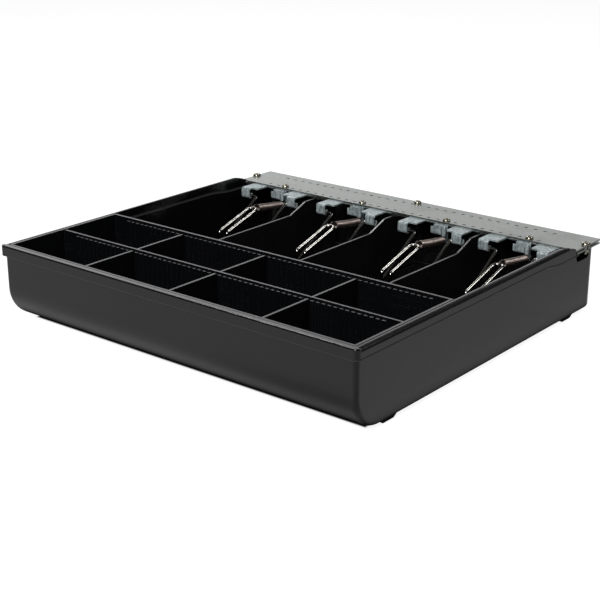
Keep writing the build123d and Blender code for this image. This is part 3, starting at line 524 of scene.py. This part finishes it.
# Wire clips, in mm: the y and z of the wire's bends, and their places left and right of each clip's middle
CLIP_XS = (-144.2, -43.2, 57.8, 148.7)
PIVOT = (123.3, 59.5)
ARM_END = (52.3, 14.5)
FOOT = (45.3, 7.72)
TIP = (47.7, 42.3)
LOOP = (95.2, 56.9)
ARM_HALF_GAP = 20.2
NOSE_HALF_GAP = 5.0
LEFT_END, RIGHT_END = -36.5, 32.0
WIRE_R = 1.5
WIRE_SIDES = 24
BENDS = (2.5, 6.0, 3.2, 3.2, 2.6, 4.9)

# Springs, in mm, each from its clip's loop to its bracket's anchor
ANCHOR = (143.9, 51.7)
ANCHOR_SHIFT = 2.5
SPRING_R = 3.31
SPRING_WIRE_R = 0.43
SPRING_WIRE_SIDES = 9
SPRING_TURNS = 37
TURN_POINTS = 26
SPRING_SAG = 0.5
FRONT_HOOK_REACH, REAR_HOOK_REACH = 1.28, 2.36
HOOK_LEAD = 1.2
HOOK_PULL = 6.5
HOOK_TURN = math.radians(285)
HOOK_POINTS = 40
LEAD_POINTS = 16


def clip_path(x0):
    """A clip's centre line, from its left end round the foot and the loop to its right end."""
    arm = np.array([
        (ARM_HALF_GAP, *PIVOT),
        (ARM_HALF_GAP, *ARM_END),
        (ARM_HALF_GAP, *FOOT),
        (NOSE_HALF_GAP, *FOOT),
        (NOSE_HALF_GAP, *TIP),
        (NOSE_HALF_GAP, *LOOP),
    ])
    left, right = [(LEFT_END, *PIVOT)], [(RIGHT_END, *PIVOT)]
    corners = np.concatenate([left, arm * (-1, 1, 1), arm[::-1], right]) + (x0, 0, 0)
    return bent_path(corners * MM, np.array(BENDS + BENDS[::-1]) * MM)


def hook(centre, away, side):
    """A spring's end hook: centre + radius * (cos(a) * side + sin(a) * away), for a from 0 to HOOK_TURN."""
    a = np.linspace(0, HOOK_TURN, HOOK_POINTS)[:, None]
    return centre + SPRING_R * (side * np.cos(a) + away * np.sin(a))


def spring_path(x0):
    """A spring's centre line: a hook, close turns on an axis that sags, and a hook turned a quarter.

    A turn's point is the axis point + radius * (across * cos(a) + up * sin(a)), and the axis sags by
    SPRING_SAG * 4 * s * (1 - s) at the share s of its way. The two points that the hooks hold come with it.
    """
    loop = np.array([x0, *LOOP])
    anchor = np.array([x0 + ANCHOR_SHIFT, *ANCHOR])
    axis = unit(anchor - loop)
    across = unit(np.cross(axis, (0, 0, 1)))
    up = np.cross(across, axis)
    front = loop + axis * FRONT_HOOK_REACH
    rear = anchor - axis * REAR_HOOK_REACH
    lead = SPRING_R + HOOK_LEAD
    first, last = front + axis * lead, rear - axis * lead
    share = np.linspace(0, 1, SPRING_TURNS * TURN_POINTS + 1)[:, None]
    angle = 2 * np.pi * SPRING_TURNS * share
    coil = first + (last - first) * share + SPRING_R * (across * np.cos(angle) + up * np.sin(angle))
    coil[:, 2] -= SPRING_SAG * (4 * share * (1 - share))[:, 0]
    front_hook = hook(front, -axis, -up)[::-1]
    rear_hook = hook(rear, axis, across)
    forward, upward = axis * HOOK_PULL, up * HOOK_PULL
    lead_in = hermite(front_hook[-1], forward, coil[0], upward, LEAD_POINTS)
    lead_out = hermite(coil[-1], upward, rear_hook[0], forward, LEAD_POINTS)
    path = np.concatenate([front_hook, lead_in, coil, lead_out, rear_hook])
    return path * MM, loop * MM, anchor * MM


for number, x0 in enumerate(CLIP_XS, start=1):
    clip = tube(f"clip_wire_{number}", clip_path(x0), WIRE_R * MM, WIRE_SIDES)
    wear(clip, "bill_clip")
    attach(clip, f"clip_{number}")
    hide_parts(f"bill_clip_{number}")
    path, loop, anchor = spring_path(x0)
    spring = tube(f"spring_wire_{number}", path, SPRING_WIRE_R * MM, SPRING_WIRE_SIDES)
    wear(spring, "clip_spring")
    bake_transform(spring)
    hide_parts(f"clip_spring_{number}")


# White floor and studio light

FLOOR_HALF = 8.0
FLOOR_PAINT = (0.86, 0.86, 0.86)
FLOOR_SHADOW = (0.02, 0.02, 0.02)
# Edges of the tray's contact shadow
SHADOW_LEFT, SHADOW_RIGHT = -0.191, 0.187
SHADOW_FRONT, SHADOW_REAR = -0.1585, 0.18
WHITE_SHARE = 0.78
STRAIGHT_GLOW = 1.17
MIRRORED_GLOW = 0.49

# The studio's walls: dim, with one white band, and white to the camera
WALL_DIM = 0.08
WALL_BAND = 1.37
BAND_EAST, BAND_NORTH = -0.66, 0.75

LAMP_TARGET = (0, 0, 0.05)
LAMPS = (
    ("key_front", (0.45, -1.7, 1.45), 1.0, 70),
    ("over_left", (-1.2, 1.0, 1.5), 0.4, 8),
    ("over_right", (1.0, 0.75, 1.2), 0.4, 6),
)

# Camera, solved from the tray's straight edges: the focal length is in pixels of a picture this wide
CAMERA_PLACE = (0.7192, -0.8900, 0.4280)
CAMERA_DOWN, CAMERA_TURN = 19.818, 39.152
FOCAL_PIXELS, PICTURE_PIXELS = 1316.63, 600
SENSOR_MM = 36
CLIP_NEAR, CLIP_FAR = 0.01, 50


def floor_material():
    """Pale floor: white to the camera, and in gloss a softer glow that fades to the rear and far away.

    Both end at the contact shadow, by the distance outside it: the greatest of x - right, left - x,
    front - y and y - rear. In gloss the floor is darker before the right corner, close to the front wall and
    on the right. Its plain paint is dark below the tray, and far away to every ray but the camera's.
    """
    material = bpy.data.materials.new("studio_floor")
    root = emptied(material)
    x, y, _ = parts_of(root, root.make("ShaderNodeTexCoord", out="Object"))
    away = greatest(root, SHADOW_FRONT - y, y - SHADOW_REAR, x - SHADOW_RIGHT, SHADOW_LEFT - x)
    camera = root.make("ShaderNodeLightPath", out="Is Camera Ray")
    gloss = root.make("ShaderNodeLightPath", out="Is Glossy Ray")
    clear = root.make("ShaderNodeLightPath", out="Is Transmission Ray")
    seen_straight = camera * ramp(root, away, low=-0.0015, high=0.0015)
    seen_mirrored = greatest(root, gloss, clear) * ramp(root, away, low=0.007, high=0.040)
    front = -y
    corner = ramp(root, x, low=0.19, high=0.25) * ramp(root, front, low=0.17, high=0.24)
    strip = ramp(root, front, low=0.15, high=0.17) * (1 - ramp(root, front, low=0.20, high=0.27))
    near = ramp(root, x, low=-0.05, high=0.15) * strip
    right = ramp(root, x, low=0.18, high=0.21)
    rear = ramp(root, y, low=-0.1, high=0.35)
    far = ramp(root, away, low=0.3, high=0.5)
    bare_straight = camera * ramp(root, away, low=-0.0015, high=0.001)
    bare = bare_straight + (1 - camera) * ramp(root, away, low=0.005, high=0.040) * (1 - far)
    paint = tint(root, bare, FLOOR_SHADOW, FLOOR_PAINT)
    plain = root.make("ShaderNodeBsdfDiffuse", sockets={"Color": paint})
    shade = (1 - 0.4 * rear) * (1 - far) * (1 - 0.5 * corner) * (1 - 0.6 * near) * (1 - 0.16 * right)
    glow = camera * STRAIGHT_GLOW + (1 - camera) * (MIRRORED_GLOW * shade)
    white = root.make("ShaderNodeEmission", sockets={"Color": (1, 1, 1, 1), "Strength": glow})
    shown = greatest(root, seen_straight, seen_mirrored) * WHITE_SHARE
    mixed = root.make("ShaderNodeMixShader", sockets={0: shown, 1: plain, 2: white})
    root.make("ShaderNodeOutputMaterial", sockets={"Surface": mixed})
    return material


def lay_floor():
    """One large square under the tray."""
    mesh = bpy.data.meshes.new("studio_floor")
    signs = np.array([(-1, -1, 0), (1, -1, 0), (1, 1, 0), (-1, 1, 0)])
    mesh.from_pydata((signs * FLOOR_HALF).tolist(), [], [(0, 1, 2, 3)])
    mesh.materials.append(floor_material())
    return put_in_scene("studio_floor", mesh)


def light_world():
    """Walls with one white band behind and to the left, from about 8 to 25 degrees over the horizon."""
    world = bpy.data.worlds.new("studio")
    bpy.context.scene.world = world
    root = emptied(world)
    east, north, rise = parts_of(root, root.make("ShaderNodeTexCoord", out="Generated"))
    seen = root.make("ShaderNodeLightPath", out="Is Camera Ray")
    height = ramp(root, rise, low=0.12, high=0.20) * (1 - ramp(root, rise, low=0.37, high=0.45))
    behind = height * ramp(root, north * BAND_NORTH + east * BAND_EAST, low=0.55, high=0.75)
    strength = (WALL_DIM + behind * WALL_BAND) * (1 - seen) + seen
    light = root.make("ShaderNodeBackground", sockets={"Color": (1, 1, 1, 1), "Strength": strength})
    root.make("ShaderNodeOutputWorld", sockets={"Surface": light})


def hang_lamp(name, place, size, power):
    """A square lamp that faces the tray."""
    lamp = bpy.data.lights.new(name, "AREA")
    lamp.shape = "SQUARE"
    lamp.size = size
    lamp.energy = power
    ray = unit(np.array(LAMP_TARGET) - np.array(place))
    holder = put_in_scene(name, lamp)
    holder.location = place
    holder.rotation_euler = (math.acos(-ray[2]), 0, math.atan2(ray[0], -ray[1]) + math.pi)


def set_camera():
    """The photograph's own view."""
    lens = bpy.data.cameras.new("camera")
    lens.sensor_width = SENSOR_MM
    lens.lens = SENSOR_MM * FOCAL_PIXELS / PICTURE_PIXELS
    lens.clip_start, lens.clip_end = CLIP_NEAR, CLIP_FAR
    camera = put_in_scene("camera", lens)
    camera.location = CAMERA_PLACE
    camera.rotation_euler = (math.radians(90 - CAMERA_DOWN), 0, math.radians(CAMERA_TURN))
    bpy.context.scene.camera = camera


floor = lay_floor()
light_world()
for lamp in LAMPS:
    hang_lamp(*lamp)
set_camera()
bpy.context.scene.view_settings.view_transform = "Standard"
